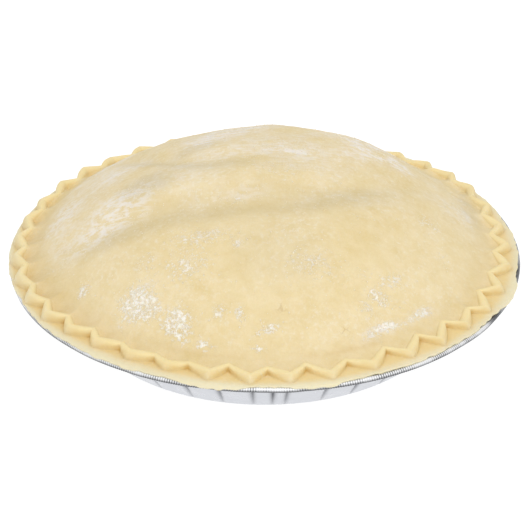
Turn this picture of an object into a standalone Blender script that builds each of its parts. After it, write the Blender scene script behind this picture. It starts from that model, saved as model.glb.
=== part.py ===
"""An unbaked fruit pie with a closed lid, standing in the foil tin it was made in.

Metres, +Z up, the front of the pie towards -Y. The origin is the middle of the tin's base, on the
surface that the tin stands on. The tin and the pie are each one turned solid: a closed section is
spun about the axis, and then the pleats of the foil, the zigzag of the crimped edge and the lumps
that the fruit makes in the lid are pressed into its skin by formula.
"""

import math
from collections import namedtuple

import bpy
import numpy as np

MM = 0.001
GAP = 0.3 * MM                    # left between the dough and the foil

# The tin: the common nine-inch size, pressed from foil and pleated round its wall
TIN_RADIUS = 122.2 * MM           # to the outside of the rolled bead
MOUTH_RADIUS = 111.0 * MM         # where the sloping wall meets the flange
BASE_RADIUS = 88.5 * MM           # where it meets the flat base
BEAD_RADIUS = 1.2 * MM
BEAD_HEIGHT = 29.9 * MM           # the bead's middle; all heights are above the underside of the base
BEAD_ABOVE_FLANGE = 0.3 * MM      # from the flange's top to the bead's middle
FOIL = 0.5 * MM                   # drawn thicker than real foil, which is about 0.1 mm
BASE_CORNER = 1.2 * MM            # cut from each side of the corner at the base
MOUTH_CORNER = 3.0 * MM           # and at the mouth
PLEATS = 38
COLUMNS_A_PLEAT = 4
PLEAT_TURN = math.radians(-93.2)  # from +X to one of the creases, near the front
PLEAT_DEPTH = 1.3 * MM            # of a crease at the top of the wall, fading to nothing at its foot
CREASE_PINCH = 0.45               # how far the columns beside a crease close in on it

# The lid: heaped over the fruit, a little off the middle of the tin and higher at the back
LID_MIDDLE = (-2.2 * MM, 0.5 * MM)
DOME_RADIUS = 104.5 * MM
DOME_TOP = 77.2 * MM
DOME_EDGE = 37.8 * MM             # height where the dome's side breaks down to the crimp
DOME_EDGE_TILT = 2.7 * MM         # how much higher that is at the back, and lower at the front
DOME_ROUNDNESS = 2.2              # exponent of the dome's outline: 2 is a bowl, more is flatter
DOME_RINGS = 7

# The crimp: a zigzag ridge pressed up out of both crusts by a toothed die
CRIMP_MIDDLE = (-1.2 * MM, 0.0)
TEETH = 40
COLUMNS_A_TOOTH = 6
TOOTH_TURN = math.radians(114.6)  # from +X to the outer tip of one tooth
TOOTH_ROUNDNESS = 1.2             # 1 is a sharp zigzag, more rounds the outer tips
RIDGE_TOP = 36.4 * MM             # along the middle of the ridge
RIDGE_SHOULDER = 35.7 * MM        # along its two edges
RIDGE_LEAN = 1.7 * MM             # how much higher it is at the back left, and lower opposite
RIDGE_LEAN_TO = math.radians(120)
RIDGE_OUTER = 114.7 * MM          # mean radius of the outer edge
RIDGE_OUTER_SWING = 3.7 * MM      # how far the zigzag takes that edge out and in
RIDGE_INNER = 111.3 * MM
RIDGE_INNER_SWING = 1.9 * MM
RIDGE_MIDDLE = (RIDGE_INNER + RIDGE_OUTER) / 2
RIDGE_MIDDLE_SWING = (RIDGE_INNER_SWING + RIDGE_OUTER_SWING) / 2
RIDGE_SPREAD = 0.6 * MM           # how much wider the ridge is at its foot, on each side
VALLEY_RADIUS = 108.0 * MM        # the crease between the dome and the ridge
VALLEY_SWING = 1.4 * MM
VALLEY_HEIGHT = 34.5 * MM
VALLEY_DIP = 0.9 * MM             # how far it dips behind the outer tips, and rises at the notches
POCKET_HEIGHT = 34.3 * MM         # the ridge's inner foot
POCKET_DIP = 1.2 * MM

# The ledge: what the die leaves flat outside the ridge, lying over the bead
LEDGE_MIDDLE = (-0.8 * MM, -0.3 * MM)
LEDGE_RADIUS = 120.9 * MM
LEDGE_TOP = 31.9 * MM
LEDGE_ROUNDING = 0.3 * MM

# Swells and hollows of the lid: middle x and y, reach along x and y, height, all in mm
LUMPS = (
    (46.0, 48.0, 26.0, 22.0, 3.0),
    (0.0, 66.0, 24.0, 20.0, 1.2),
    (-34.0, 58.0, 26.0, 22.0, -1.8),
    (-68.0, 40.0, 20.0, 20.0, -1.9),
    (-72.0, -18.0, 20.0, 16.0, 2.2),
    (-12.0, -14.0, 34.0, 13.0, 1.4),
    (20.0, -62.0, 46.0, 16.0, 1.0),
)

# Two long hollows across the lid, in mm. Each lies along y = level + bend * t^2, where t is how far
# x is past the start, towards side; its depth fades away from its middle
Hollow = namedtuple("Hollow", "level bend start side middle reach width depth")
FRONT_HOLLOW = Hollow(-28.5, 0.0068, -5.0, 1.0, -14.0, 76.0, 12.0, 4.2)
BACK_HOLLOW = Hollow(18.0, -0.01, -45.0, -1.0, -46.0, 34.0, 9.5, 2.8)

# One ring of the pie's skin: swing is how far the zigzag moves it out and in, dip how far it sinks
# behind the outer tips, and middle is the point of the plan that it is turned about
Ring = namedtuple("Ring", "radius height swing dip middle", defaults=(0.0, 0.0, (0.0, 0.0)))


def linear(hex_colour):
    """An sRGB hex colour as linear RGBA."""
    channels = [int(hex_colour[i:i + 2], 16) / 255 for i in (1, 3, 5)]
    return [c / 12.92 if c <= 0.04045 else ((c + 0.055) / 1.055) ** 2.4 for c in channels] + [1.0]


def make_material(name, hex_colour, roughness, metallic):
    """One plain Principled material."""
    material = bpy.data.materials.new(name)
    material.use_nodes = True
    shader = material.node_tree.nodes["Principled BSDF"]
    shader.inputs["Base Color"].default_value = linear(hex_colour)
    shader.inputs["Roughness"].default_value = roughness
    shader.inputs["Metallic"].default_value = metallic
    return material


def turn(name, section, columns, collection, material):
    """Spin a section, a run of (radius, height) points from the axis back to the axis, into a solid."""
    profile = bpy.data.meshes.new(name + "_section")
    edges = [(i, i + 1) for i in range(len(section) - 1)]
    profile.from_pydata([(radius, 0.0, height) for radius, height in section], edges, [])
    lathe = bpy.data.objects.new(name + "_lathe", profile)
    collection.objects.link(lathe)
    screw = lathe.modifiers.new("Turn", 'SCREW')
    screw.steps = columns
    screw.render_steps = columns
    screw.use_merge_vertices = True
    screw.merge_threshold = 0.01 * MM

    graph = bpy.context.evaluated_depsgraph_get()
    mesh = bpy.data.meshes.new_from_object(lathe.evaluated_get(graph))
    bpy.data.objects.remove(lathe, do_unlink=True)
    bpy.data.meshes.remove(profile)
    mesh.name = name
    mesh.materials.append(material)
    solid = bpy.data.objects.new(name, mesh)
    collection.objects.link(solid)
    return solid


def read_points(mesh):
    """The mesh's points as an array of rows x, y, z."""
    points = np.empty(len(mesh.vertices) * 3, dtype=np.float32)
    mesh.vertices.foreach_get("co", points)
    return points.reshape(-1, 3).astype(float)


def write_points(mesh, points):
    """Move the mesh's points, and shade it smooth except along real edges."""
    mesh.vertices.foreach_set("co", points.astype(np.float32).ravel())
    mesh.update()
    mesh.shade_smooth()
    mesh.set_sharp_from_angle(angle=math.radians(35))


def wall_line(inset):
    """The edge of the tin's base, its sloping wall and the start of its flange, as (radius, height)
    points from the base outwards, set in by this much from the outside of the foil. Each of the two
    corners is cut off."""
    flange = BEAD_HEIGHT - BEAD_ABOVE_FLANGE - FOIL
    run = MOUTH_RADIUS - BASE_RADIUS
    slope = math.hypot(run, flange)
    out, up = run / slope, flange / slope
    # Set in, the wall meets the base and the flange this much short of the old corners
    back = inset * (1 - out) / up
    base = BASE_RADIUS - back
    mouth = MOUTH_RADIUS - back
    return [
        (base - BASE_CORNER, inset),
        (base + BASE_CORNER * out, inset + BASE_CORNER * up),
        (mouth - MOUTH_CORNER * out, flange + inset - MOUTH_CORNER * up),
        (mouth + MOUTH_CORNER, flange + inset),
    ]


def bead_arc():
    """The rolled bead, from where it leaves the flange's top, over and round to its underside."""
    middle = TIN_RADIUS - BEAD_RADIUS
    top_joint = 180 + math.degrees(math.asin(BEAD_ABOVE_FLANGE / BEAD_RADIUS))
    under_joint = -180 + math.degrees(math.asin((BEAD_ABOVE_FLANGE + FOIL) / BEAD_RADIUS))
    arc = []
    for degrees in (top_joint, 120, 60, 0, -70, under_joint):
        turned = math.radians(degrees)
        arc.append((middle + BEAD_RADIUS * math.cos(turned), BEAD_HEIGHT + BEAD_RADIUS * math.sin(turned)))
    return arc


def make_tin(collection):
    """The foil tin: flat base, pleated wall, flange and rolled bead."""
    outside = wall_line(0.0)
    section = [(0.0, FOIL)] + wall_line(FOIL) + bead_arc() + outside[::-1] + [(0.0, 0.0)]
    foil = make_material("aluminium_foil", "#D3D6DE", 0.32, 1.0)
    tin = turn("foil_tin", section, PLEATS * COLUMNS_A_PLEAT, collection, foil)

    points = read_points(tin.data)
    radius = np.hypot(points[:, 0], points[:, 1])
    angle = np.arctan2(points[:, 1], points[:, 0])
    # The columns close in on each crease, which makes it a narrow fold between wide flat panels
    near_crease = np.clip(np.cos(angle * PLEATS), 0, None)
    angle = angle - CREASE_PINCH / PLEATS * np.sin(angle * PLEATS) + PLEAT_TURN
    climb = points[:, 2] / outside[2][1]
    on_wall = (radius > outside[0][0] + GAP) & (radius < outside[3][0] - GAP)
    radius = radius - np.where(on_wall, PLEAT_DEPTH * climb * near_crease, 0.0)
    points[:, 0] = radius * np.cos(angle)
    points[:, 1] = radius * np.sin(angle)
    write_points(tin.data, points)
    return tin


def tooth_wave(angle):
    """The zigzag: 1 at each outer tip, -1 at each inner notch, rounder at the tips."""
    phase = (angle - TOOTH_TURN) * TEETH / (2 * math.pi)
    from_tip = 2 * np.abs(phase - np.round(phase))
    return 1 - 2 * from_tip ** TOOTH_ROUNDNESS


def long_hollow(x_mm, y_mm, hollow):
    """How far a long hollow lets the lid down at a place, with a bell-shaped section."""
    past = np.clip((x_mm - hollow.start) * hollow.side, 0, None)
    across = (y_mm - hollow.level - hollow.bend * past ** 2) / hollow.width
    along = (x_mm - hollow.middle) / hollow.reach
    return hollow.depth * np.exp(-across ** 2 - along ** 2)


def lumps(x, y):
    """How far the fruit lifts the lid, or lets it down, at a place on it."""
    x_mm, y_mm = x / MM, y / MM
    lift = -long_hollow(x_mm, y_mm, FRONT_HOLLOW) - long_hollow(x_mm, y_mm, BACK_HOLLOW)
    for middle_x, middle_y, reach_x, reach_y, height in LUMPS:
        off_x = (x_mm - middle_x) / reach_x
        off_y = (y_mm - middle_y) / reach_y
        lift = lift + height * np.exp(-off_x ** 2 - off_y ** 2)
    return lift * MM


def dome_rings():
    """The dome's rings, closer together where it turns down to its edge."""
    rings = []
    for step in range(1, DOME_RINGS + 1):
        share = math.sin(step / (DOME_RINGS + 1) * math.pi / 2) ** 0.85
        height = DOME_TOP - (DOME_TOP - DOME_EDGE) * share ** DOME_ROUNDNESS
        rings.append(Ring(share * DOME_RADIUS, height, middle=LID_MIDDLE))
    return rings


def pie_rings():
    """The rings of the pie's skin: from the top of the dome over the crimp and the ledge, and down
    inside the tin to the middle of the base."""
    crimp = [
        Ring(VALLEY_RADIUS, VALLEY_HEIGHT, VALLEY_SWING, VALLEY_DIP, CRIMP_MIDDLE),
        Ring(RIDGE_INNER - RIDGE_SPREAD, POCKET_HEIGHT, RIDGE_INNER_SWING, POCKET_DIP, CRIMP_MIDDLE),
        Ring(RIDGE_INNER, RIDGE_SHOULDER, RIDGE_INNER_SWING, 0.0, CRIMP_MIDDLE),
        Ring(RIDGE_MIDDLE, RIDGE_TOP, RIDGE_MIDDLE_SWING, 0.0, CRIMP_MIDDLE),
        Ring(RIDGE_OUTER, RIDGE_SHOULDER, RIDGE_OUTER_SWING, 0.0, CRIMP_MIDDLE),
        Ring(RIDGE_OUTER + RIDGE_SPREAD, LEDGE_TOP, RIDGE_OUTER_SWING, 0.0, CRIMP_MIDDLE),
    ]
    over_bead = BEAD_HEIGHT + BEAD_RADIUS + GAP
    beside_bead = TIN_RADIUS - 2 * BEAD_RADIUS - GAP
    seat = wall_line(FOIL + GAP)
    ledge = [
        Ring(LEDGE_RADIUS - LEDGE_ROUNDING, LEDGE_TOP - LEDGE_ROUNDING / 2, middle=LEDGE_MIDDLE),
        Ring(LEDGE_RADIUS, over_bead, middle=LEDGE_MIDDLE),
        Ring(beside_bead, over_bead),
        Ring(beside_bead, seat[3][1]),
    ]
    inside = [
        Ring(*seat[3]),
        Ring(seat[2][0] - PLEAT_DEPTH, seat[2][1]),
        Ring(*seat[0]),
    ]
    top = Ring(0.0, DOME_TOP, middle=LID_MIDDLE)
    bottom = Ring(0.0, FOIL + GAP)
    return [top] + dome_rings() + crimp + ledge + inside + [bottom]


def make_pie(collection):
    """The pie: crust, fruit and lid as one solid, with its crimped edge."""
    rings = pie_rings()
    dough = make_material("raw_shortcrust", "#EDDCAF", 0.72, 0.0)
    section = [(ring.radius, ring.height) for ring in rings]
    pie = turn("pie", section, TEETH * COLUMNS_A_TOOTH, collection, dough)

    points = read_points(pie.data)
    spun_radius = np.hypot(points[:, 0], points[:, 1])
    angle = np.arctan2(points[:, 1], points[:, 0]) + TOOTH_TURN
    # Each point belongs to the ring whose radius and height it has
    misses = [(spun_radius - ring.radius) ** 2 + (points[:, 2] - ring.height) ** 2 for ring in rings]
    own = np.argmin(misses, axis=0)
    radius, height, swing, dip = (np.array([ring[part] for ring in rings])[own] for part in range(4))
    middle = np.array([ring.middle for ring in rings])[own]

    wave = tooth_wave(angle)
    x = middle[:, 0] + (radius + swing * wave) * np.cos(angle)
    y = middle[:, 1] + (radius + swing * wave) * np.sin(angle)
    share = radius / DOME_RADIUS
    tilt = DOME_EDGE_TILT * np.sin(angle) * share ** DOME_ROUNDNESS
    on_dome = own <= DOME_RINGS
    on_ridge = np.isin(radius, (RIDGE_INNER - RIDGE_SPREAD, RIDGE_INNER, RIDGE_MIDDLE, RIDGE_OUTER))
    relief = np.where(on_dome, tilt + lumps(x, y) * (1 - share ** 6), 0.0)
    relief = np.where(on_ridge, RIDGE_LEAN * np.cos(angle - RIDGE_LEAN_TO), relief)
    write_points(pie.data, np.column_stack((x, y, height - dip * wave + relief)))
    return pie


def main():
    for thing in list(bpy.data.objects):
        bpy.data.objects.remove(thing, do_unlink=True)
    collection = bpy.data.collections.new("fruit_pie")
    bpy.context.scene.collection.children.link(collection)
    make_tin(collection)
    make_pie(collection)


main()
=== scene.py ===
"""An unbaked fruit pie in its foil tin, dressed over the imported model.

The front of the pie is towards -Y. Sizes are written in millimetres, and a mesh is turned to metres
as it is made. The sections follow the pie as it is put together: the table it stands on, the tin's
pan, the tin's rolled bead, the crust with its lid and crimp, and last the flour.
"""

import math

import bpy
import numpy as np
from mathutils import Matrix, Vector


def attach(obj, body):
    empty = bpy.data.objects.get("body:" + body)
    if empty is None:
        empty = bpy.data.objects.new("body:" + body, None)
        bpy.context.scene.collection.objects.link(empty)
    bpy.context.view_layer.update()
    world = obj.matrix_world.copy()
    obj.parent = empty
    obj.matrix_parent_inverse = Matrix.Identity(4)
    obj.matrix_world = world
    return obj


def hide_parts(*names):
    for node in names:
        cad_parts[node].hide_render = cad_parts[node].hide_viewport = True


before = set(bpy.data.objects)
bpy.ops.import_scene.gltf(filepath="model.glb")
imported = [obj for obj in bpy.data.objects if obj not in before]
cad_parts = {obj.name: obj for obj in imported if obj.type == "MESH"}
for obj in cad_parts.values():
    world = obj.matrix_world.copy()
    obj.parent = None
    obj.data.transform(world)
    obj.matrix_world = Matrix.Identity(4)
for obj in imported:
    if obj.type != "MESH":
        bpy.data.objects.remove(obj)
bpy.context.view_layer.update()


# --- The table and the light ---
# A matt white table, lit a little from beneath as in a light tent, so that the foil has something
# bright to mirror. The light is soft and even, and comes mostly from above and in front.

MM = 0.001
CAMERA_TILT = 0.5132              # radians that the camera looks down
CAMERA_AWAY = 906.3               # from the point that it looks at
CAMERA_AIM = 30.0                 # height of that point on the pie's axis
CAMERA_LENS = 127.9
FRAME_SHIFT = (0.0003, -0.0277)   # the photograph's frame isn't quite centred on that point
TABLE_RADIUS = 6000.0
TABLE_CORNERS = 96
TABLE_DROP = 0.1                  # below the tin, so that the two surfaces don't fight
TABLE_GLOW = 0.88
TENT_STRENGTH = 0.82              # of the tent's walls; they are darker down by the table
TENT_FOOT = 0.7                   # how bright they still are there, as a share
TENT_RISE = (0.05, 0.6)           # from where to where upwards they brighten: 1 is straight up
LAMP_PLACE = (0.2, -1.0, 1.3)
LAMP_SIZE = 1.3
LAMP_POWER = 8.5


def linear(hex_colour):
    """An sRGB hex colour as linear RGBA: each channel as a share of 255, put through the sRGB curve."""
    channels = [int(hex_colour[i:i + 2], 16) / 255 for i in (1, 3, 5)]
    return [c / 12.92 if c <= 0.04045 else ((c + 0.055) / 1.055) ** 2.4 for c in channels] + [1.0]


def add(material, kind, fields=None, inputs=None):
    """Add a shader node. Fields are its settings; inputs, by name or number, are values or links. A
    Mix node's factor is input 0, its colours are inputs 6 and 7, and the mixed colour is output 2. A
    Map Range node takes input 0 from the range 1 to 2 to the range 3 to 4."""
    tree = material.node_tree
    node = tree.nodes.new("ShaderNode" + kind)
    for field, value in (fields or {}).items():
        setattr(node, field, value)
    for name, value in (inputs or {}).items():
        if isinstance(value, bpy.types.NodeSocket):
            tree.links.new(value, node.inputs[name])
        else:
            node.inputs[name].default_value = value
    return node


def new_material(name):
    """An empty material that is made of nodes."""
    material = bpy.data.materials.new(name)
    material.use_nodes = True
    material.node_tree.nodes.clear()
    return material


def make_mesh(name, points, faces, material):
    """A smooth-shaded piece at the origin, from points in millimetres and lists of faces."""
    mesh = bpy.data.meshes.new(name)
    mesh.from_pydata((points * MM).tolist(), [], [face for run in faces for face in run.tolist()])
    mesh.polygons.foreach_set("use_smooth", np.ones(len(mesh.polygons), dtype=bool))
    mesh.update()
    mesh.materials.append(material)
    piece = bpy.data.objects.new(name, mesh)
    bpy.context.scene.collection.objects.link(piece)
    return piece


# Matt white acrylic: no gloss, and a faint glow of its own
white_acrylic = new_material("white_acrylic_matt")
acrylic = add(white_acrylic, "BsdfPrincipled", inputs={
    "Base Color": linear("#888888"), "Roughness": 0.9, "Specular IOR Level": 0.1,
    "Emission Color": linear("#FFFFFF"), "Emission Strength": TABLE_GLOW})
add(white_acrylic, "OutputMaterial", inputs={"Surface": acrylic.outputs["BSDF"]})

turn = np.linspace(0, 2 * math.pi, TABLE_CORNERS, endpoint=False)
rim = np.column_stack((np.cos(turn), np.sin(turn), np.zeros(TABLE_CORNERS))) * TABLE_RADIUS
rim[:, 2] = -TABLE_DROP
table = make_mesh("table", rim, [np.arange(TABLE_CORNERS)[None, :]], white_acrylic)

tent = bpy.data.worlds.new("light_tent")
tent.use_nodes = True
tent.node_tree.nodes.clear()
towards = add(tent, "TexCoord").outputs["Generated"]
upward = add(tent, "SeparateXYZ", inputs={0: towards})
tent_glow = add(tent, "MapRange", {"interpolation_type": 'SMOOTHSTEP'},
                {0: upward.outputs["Z"], 1: TENT_RISE[0], 2: TENT_RISE[1],
                 3: TENT_STRENGTH * TENT_FOOT, 4: TENT_STRENGTH})
tent_wall = add(tent, "Background", inputs={"Color": linear("#FFFFFF"), "Strength": tent_glow.outputs[0]})
add(tent, "OutputWorld", inputs={"Surface": tent_wall.outputs[0]})
bpy.context.scene.world = tent

lamp_light = bpy.data.lights.new("soft_lamp", 'AREA')
lamp_light.shape = 'DISK'
lamp_light.size = LAMP_SIZE
lamp_light.energy = LAMP_POWER
lamp = bpy.data.objects.new("soft_lamp", lamp_light)
lamp.location = LAMP_PLACE
lamp.rotation_euler = (-Vector(LAMP_PLACE)).to_track_quat('-Z', 'Y').to_euler()
bpy.context.scene.collection.objects.link(lamp)

camera_view = bpy.data.cameras.new("camera")
camera_view.sensor_width = 36.0
camera_view.lens = CAMERA_LENS
camera_view.shift_x, camera_view.shift_y = FRAME_SHIFT
camera = bpy.data.objects.new("camera", camera_view)
camera.location = (0.0, -CAMERA_AWAY * math.cos(CAMERA_TILT) * MM,
                   (CAMERA_AWAY * math.sin(CAMERA_TILT) + CAMERA_AIM) * MM)
camera.rotation_euler = (math.pi / 2 - CAMERA_TILT, 0.0, 0.0)
bpy.context.scene.collection.objects.link(camera)
bpy.context.scene.camera = camera
bpy.context.scene.view_settings.view_transform = 'Standard'


# --- The tin's pan ---
# Aluminium foil, pressed in one stroke from a flat sheet. The sheet is too wide for the sloping wall,
# so it gathers there in thirty-eight pleats, each a narrow fold that opens towards the rim.

MOUTH_RADIUS = 111.0
BASE_RADIUS = 88.5
FLANGE_TOP = 29.6
FLANGE_END = 120.3                # hidden inside the bead
FOIL = 0.5                        # as the frame draws it; the real foil is a fifth of that
BASE_CORNER = 1.6
MOUTH_CORNER = 3.2
PLEATS = 38
PLEAT_COLUMNS = 28
PLEAT_CROWDING = 0.8              # how much closer together columns lie beside a crease
PLEAT_TURN = math.radians(-93.2)
PLEAT_STRAY = 0.11                # of the way to the next pleat
EXTRA_PLEAT = math.radians(5.3)   # past the first: the front has one pleat more, between two others
PLEAT_DEPTH = 2.0
PLEAT_SHALLOWEST = 0.65           # the shallowest pleat's share of that depth
PLEAT_WIDTH = 1.5                 # half of a fold's width at the rim
PLEATS_END = 118.0                # radius on the flange where the last of a pleat is ironed out
LIP_HEIGHT = 0.55                 # of the doubled foil beside a fold
LIP_AWAY = 1.9
LIP_WIDTH = 0.8
PANEL_FLATNESS = 0.8              # of the foil between two pleats: 1 is a flat panel, 0 a round one
PANEL_TWIST = 0.9                 # how far one side of a panel may stand out past the other
WRINKLE = 0.12
PAN_SHADE = 0.08                  # how dark the foil is between the folds
FOLD_SHADE = 1.5                  # and how much darker in the deepest


def skin(rings):
    """Points and faces of a closed skin laid through rings of points, all begun at one angle.

    Between two rings of one count each face joins point i of both to point i + 1 of both. Where one
    ring has three times the points of the other, four triangles join one long step to three short
    ones. A ring of a single point is a pole, closed by a fan. Rings that run anticlockwise and go
    outwards over the top give faces that point up.
    """
    starts = np.cumsum([0] + [len(ring) for ring in rings])
    faces = []
    for a, b, inner, outer in zip(starts, starts[1:], map(len, rings), map(len, rings[1:])):
        few = min(inner, outer) if min(inner, outer) > 1 else max(inner, outer)
        i = np.arange(few)
        j = (i + 1) % few
        if inner == 1:
            faces.append(np.column_stack((a + 0 * i, b + i, b + j)))
        elif outer == 1:
            faces.append(np.column_stack((a + i, b + 0 * i, a + j)))
        elif inner == outer:
            faces.append(np.column_stack((a + i, b + i, b + j, a + j)))
        elif outer == 3 * inner:
            k = [b + 3 * i, b + 3 * i + 1, b + 3 * i + 2, b + (3 * i + 3) % outer]
            faces += [np.column_stack(three) for three in (
                (a + i, k[0], k[1]), (a + i, k[1], a + j), (a + j, k[1], k[2]), (a + j, k[2], k[3]))]
        else:
            k = [a + 3 * i, a + 3 * i + 1, a + 3 * i + 2, a + (3 * i + 3) % inner]
            faces += [np.column_stack(three) for three in (
                (k[0], b + i, k[1]), (k[1], b + i, b + j), (k[1], b + j, k[2]), (k[2], b + j, k[3]))]
    return np.concatenate(rings), faces


def round_trip(angle, seed, slowest, fastest):
    """Unevenness round the rim, about 1 high: sine waves that each fit a whole number of times round,
    from slowest to fastest, with random starts, each lower the more often it fits."""
    rng = np.random.default_rng(seed)
    total = 0.0
    weight = 0.0
    for times in range(slowest, fastest + 1):
        height = (slowest / times) ** 0.7 * rng.uniform(0.5, 1.0)
        total = total + height * np.sin(times * angle + rng.uniform(0, 2 * math.pi))
        weight += height ** 2 / 2
    return total / math.sqrt(weight)


def wall_line(inset, steps):
    """Base edge, wall and flange as (radius, height) points, inset this much from the outside: two
    straight runs and a straight wall between them, each corner a quadratic curve about its point."""
    flange = FLANGE_TOP - FOIL
    run = MOUTH_RADIUS - BASE_RADIUS
    slope = math.hypot(run, flange)
    back = inset * (1 - run / slope) * slope / flange
    along = np.array((run, flange)) / slope
    foot = np.array((BASE_RADIUS - back, inset))
    mouth = np.array((MOUTH_RADIUS - back, flange + inset))
    bend = np.linspace(0, 1, 5)[:, None]
    line = [(1 - bend) ** 2 * (foot - (BASE_CORNER, 0)) + 2 * bend * (1 - bend) * foot
            + bend ** 2 * (foot + BASE_CORNER * along)]
    straight = np.linspace(0, 1, steps + 2)[1:-1, None]
    line.append((foot + BASE_CORNER * along) * (1 - straight) + (mouth - MOUTH_CORNER * along) * straight)
    line.append((1 - bend) ** 2 * (mouth - MOUTH_CORNER * along) + 2 * bend * (1 - bend) * mouth
                + bend ** 2 * (mouth + (MOUTH_CORNER, 0)))
    return np.concatenate(line)


def pleated_ring(radius, height):
    """One ring of the pan, and how much painted shade each of its points gets from lying deep in a fold,
    from 0 to 1.

    The ring is a circle whose radius is let in at each crease by a narrow bell, raised by a low bell
    just beside it where the foil folds over, and drawn to a flat panel in between, which may stand
    askew. All of these grow with height up the wall and fade out over the flange and the base."""
    climb = np.clip(height / FLANGE_TOP, 0, 1) ** 0.6 * np.clip((PLEATS_END - radius) / 7, 0, 1)
    climb = climb * np.clip((radius - BASE_RADIUS + 2) / 3, 0, 1)
    beside = (column_angle - crease_angle) * radius
    fold = -PLEAT_DEPTH * np.exp(-np.abs(beside / (PLEAT_WIDTH * (0.25 + 0.75 * climb))) ** 1.5)
    lip = LIP_HEIGHT * np.exp(-((beside - LIP_AWAY * fold_side) / LIP_WIDTH) ** 2)
    half = panel_width[panel] / 2
    panel_middle = creases[panel] + half
    flat = PANEL_FLATNESS * radius * (np.cos(half) / np.cos(column_angle - panel_middle) - 1)
    wrinkle = WRINKLE * round_trip(column_angle + height / 55, seed=5, slowest=60, fastest=150)
    askew = twist[panel] * (step - 0.5)
    out = radius + climb * (crease_depth * fold + lip + flat + wrinkle + askew)
    shade = climb * crease_depth * np.exp(-np.abs(beside / (0.6 + 0.9 * climb)) ** 1.6)
    ring = np.column_stack((out * np.cos(column_angle), out * np.sin(column_angle),
                            np.full(len(out), height)))
    return ring, shade


rng = np.random.default_rng(38)
strays = rng.uniform(-PLEAT_STRAY, PLEAT_STRAY, PLEATS)
creases = PLEAT_TURN + (np.arange(PLEATS) + strays) * 2 * math.pi / PLEATS
creases = np.sort(np.append(creases, PLEAT_TURN + EXTRA_PLEAT))
depths = rng.uniform(PLEAT_SHALLOWEST, 1.0, len(creases))
sides = rng.choice((-1.0, 1.0), len(creases))
twist = rng.uniform(-PANEL_TWIST, PANEL_TWIST, len(creases))
panel = np.repeat(np.arange(len(creases)), PLEAT_COLUMNS)
step = np.tile(np.arange(PLEAT_COLUMNS) / PLEAT_COLUMNS, len(creases))
step = step - PLEAT_CROWDING * np.sin(step * 2 * math.pi) / (2 * math.pi)
panel_width = np.diff(creases, append=creases[0] + 2 * math.pi)
column_angle = creases[panel] + step * panel_width[panel]
ahead = step > 0.5
nearest = (panel + ahead) % len(creases)
crease_angle = creases[panel] + ahead * panel_width[panel]
crease_depth = depths[nearest]
fold_side = sides[nearest]

inside = wall_line(FOIL, 4)
outside = wall_line(0.0, 16)
middle_up = np.array([[0.0, 0.0, FOIL]])
middle_under = np.array([[0.0, 0.0, 0.0]])
flange_out = np.array([(116.5, FLANGE_TOP), (FLANGE_END, FLANGE_TOP)])
flange_back = flange_out[::-1] - (0.0, FOIL)
profile = np.concatenate((inside, flange_out, flange_back, outside[::-1]))
pan_rings, pan_shades = zip(*(pleated_ring(*point) for point in profile))
# Painted shade: dark in the folds, and a little over all the foil
pan_shade = np.concatenate([[0.0], *pan_shades, [0.0]])
pan_shade = np.clip(PAN_SHADE + FOLD_SHADE * pan_shade, 0, 1)

# Bright rolled foil: mirrors, but softly, and is crinkled all over by handling
rolled_foil = new_material("aluminium_foil_rolled")
place = add(rolled_foil, "TexCoord").outputs["Object"]
# Crinkles about 9 mm and 2.5 mm across; the mill's roll lines are too fine to show
crinkle_wide = add(rolled_foil, "TexNoise", inputs={"Vector": place, "Scale": 110.0, "Detail": 2.0})
crinkle_small = add(rolled_foil, "TexVoronoi", inputs={"Vector": place, "Scale": 400.0})
crinkle = add(rolled_foil, "Math", {"operation": 'MULTIPLY_ADD'},
              {0: crinkle_small.outputs["Distance"], 1: 0.18, 2: crinkle_wide.outputs["Fac"]})
foil_bump = add(rolled_foil, "Bump", inputs={"Strength": 0.6, "Distance": 0.0006,
                                             "Height": crinkle.outputs[0]})
foil_gloss = add(rolled_foil, "MapRange", inputs={0: crinkle_wide.outputs["Fac"], 1: 0.3, 2: 0.7,
                                                  3: 0.24, 4: 0.38})
# Painted shade: deep in a fold the foil mirrors only itself, over and over, and turns dark, so it is
# drawn darker there
fold_shade_part = add(rolled_foil, "Attribute", {"attribute_name": "painted_fold_shade"}).outputs["Fac"]
foil_tone = add(rolled_foil, "Mix", {"data_type": 'RGBA'},
                {0: fold_shade_part, 6: linear("#DCDEE3"), 7: linear("#3E4048")})
foil = add(rolled_foil, "BsdfPrincipled", inputs={
    "Base Color": foil_tone.outputs[2], "Metallic": 1.0, "Roughness": foil_gloss.outputs[0],
    "Normal": foil_bump.outputs["Normal"]})
add(rolled_foil, "OutputMaterial", inputs={"Surface": foil.outputs["BSDF"]})


def name_values(piece, name, values):
    """Store one number for each point of a piece, for its material to read."""
    held = piece.data.attributes.new(name, 'FLOAT', 'POINT')
    held.data.foreach_set("value", np.ascontiguousarray(values, dtype=np.float32))


tin_pan = make_mesh("tin_pan", *skin([middle_up, *pan_rings, middle_under]), rolled_foil)
name_values(tin_pan, "painted_fold_shade", pan_shade)
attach(tin_pan, "root")
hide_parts("foil_tin")


# --- The tin's bead ---
# The flange's edge is curled round into a bead, which stiffens the rim. The curling wheel is toothed,
# so the bead is knurled all round, like the edge of a coin.

BEAD_MIDDLE = 121.0
BEAD_HEIGHT = 29.9
BEAD_RADIUS = 1.2
KNURLS = 690                      # one in 1.1 mm
KNURL_DEPTH = 0.22
KNURL_COLUMNS = 4
BEAD_SIDES = 12
# How far the bead strays from a true circle, outwards and upwards
BEAD_STRAY_OUT = 0.12
BEAD_STRAY_UP = 0.08
# Where the knurls join in one deep groove, with painted shade that makes it black: degrees round
# from +X, reach in degrees, how much
KNURLS_IN_DEEP_SHADE = ((329.0, 3.2, 1.0), (347.5, 5.5, 1.0), (4.0, 13.0, 0.6))
KNURL_SHADE = 0.75                # how dark the painted shade in the knurls is
UNDERSIDE_SHADE = 0.9             # and the painted shade on the bead's underside


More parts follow.
